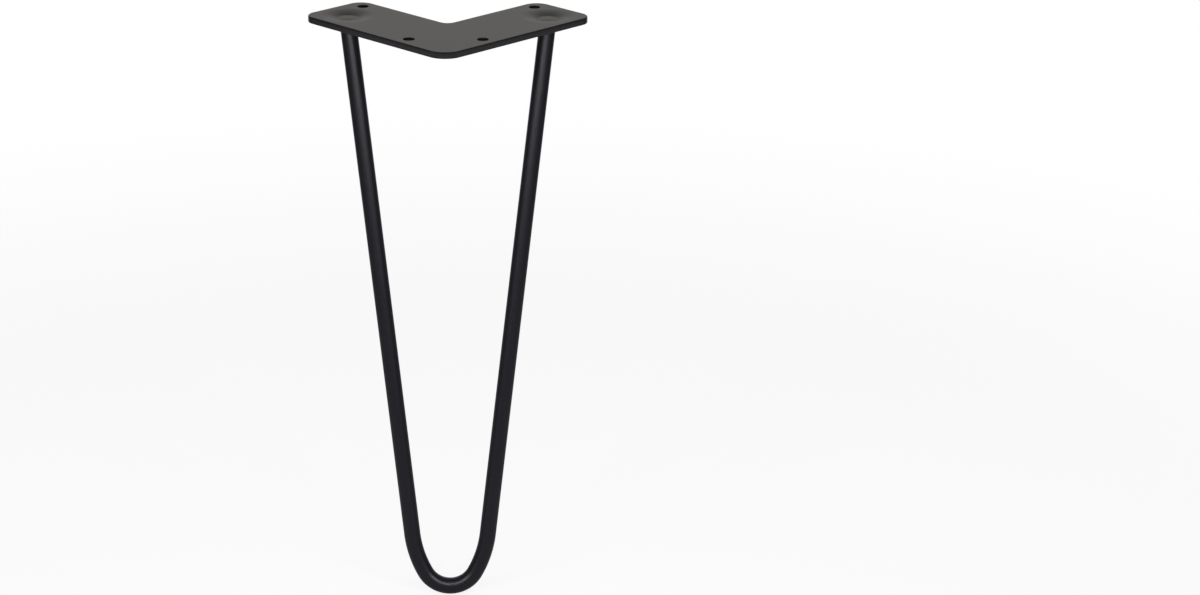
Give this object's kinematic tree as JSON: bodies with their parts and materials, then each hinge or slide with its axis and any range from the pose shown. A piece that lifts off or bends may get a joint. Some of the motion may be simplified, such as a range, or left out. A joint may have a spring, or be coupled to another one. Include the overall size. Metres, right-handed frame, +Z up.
{
  "type": "hairpin table leg",
  "caption": "Hairpin table leg: a round steel bar bent into a leaning V and welded under an L-shaped screw plate, black powder coated.",
  "frame": {"origin": "on the plate's top face, midway between the two screw holes nearest its outer corner", "axes": "+Z up out of the plate's top face into the table top, +X from the left arm's tip to the right arm's, -Y out through the plate's outer corner"},
  "size_m": [0.165, 0.1112, 0.3549],
  "materials": {
    "powder_coat": "fine-textured satin black powder coat on steel"
  },
  "bodies": {
    "root": {"mounting_plate": "powder_coat", "hairpin_rod": "powder_coat", "left_weld": "powder_coat", "right_weld": "powder_coat"}
  },
  "joints": []
}
